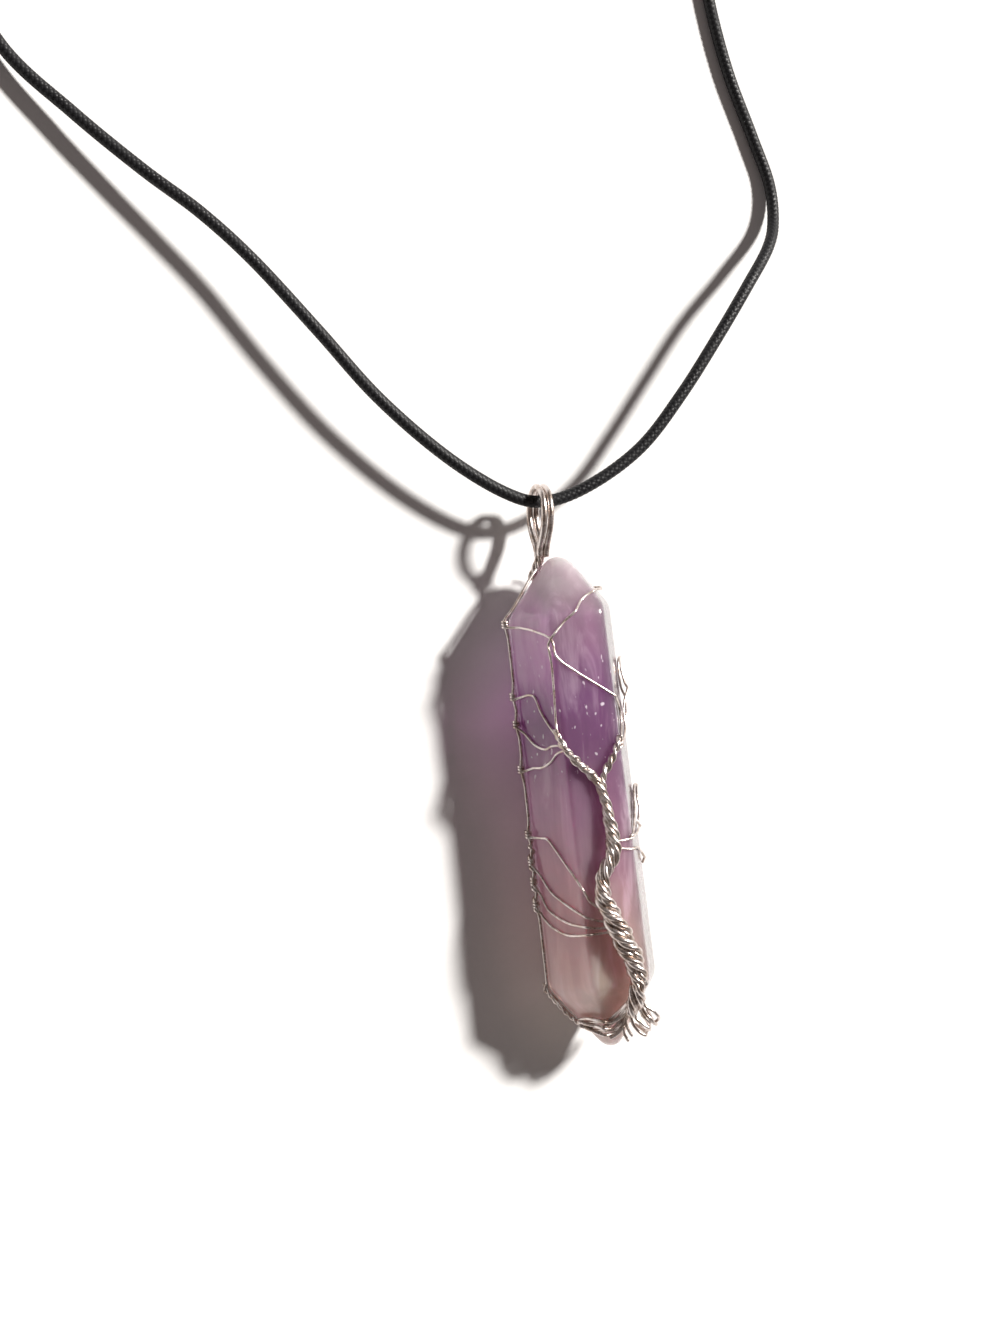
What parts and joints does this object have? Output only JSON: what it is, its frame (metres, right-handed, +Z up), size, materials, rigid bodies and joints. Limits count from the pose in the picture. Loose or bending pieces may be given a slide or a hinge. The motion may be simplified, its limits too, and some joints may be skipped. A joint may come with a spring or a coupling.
{
  "type": "crystal point pendant on a cord",
  "caption": "Double ended six sided amethyst point in a twisted silver wire tree, with a wire bail on a black waxed cord, lying flat.",
  "frame": {"origin": "middle of the flat face that the crystal rests on, half way between its tips", "axes": "+X across the crystal, +Y along it towards the bail, +Z up from the surface"},
  "size_m": [0.1032, 0.214, 0.0156],
  "materials": {
    "amethyst": "polished amethyst, clear at the tips",
    "silver_wire": "polished silver coloured wire",
    "waxed_cord": "black braided cord, waxed and glossy",
    "clasp_metal": "polished"
  },
  "bodies": {
    "root": {"crystal": "amethyst", "frame_left": "silver_wire", "frame_right": "silver_wire", "upper_twigs": "silver_wire", "lower_twigs": "silver_wire", "leaf_loops": "silver_wire", "branch_left": "silver_wire", "branch_right": "silver_wire", "trunk": "silver_wire", "roots": "silver_wire", "bail": "silver_wire", "cord": "waxed_cord", "clasp": "clasp_metal"}
  },
  "joints": []
}
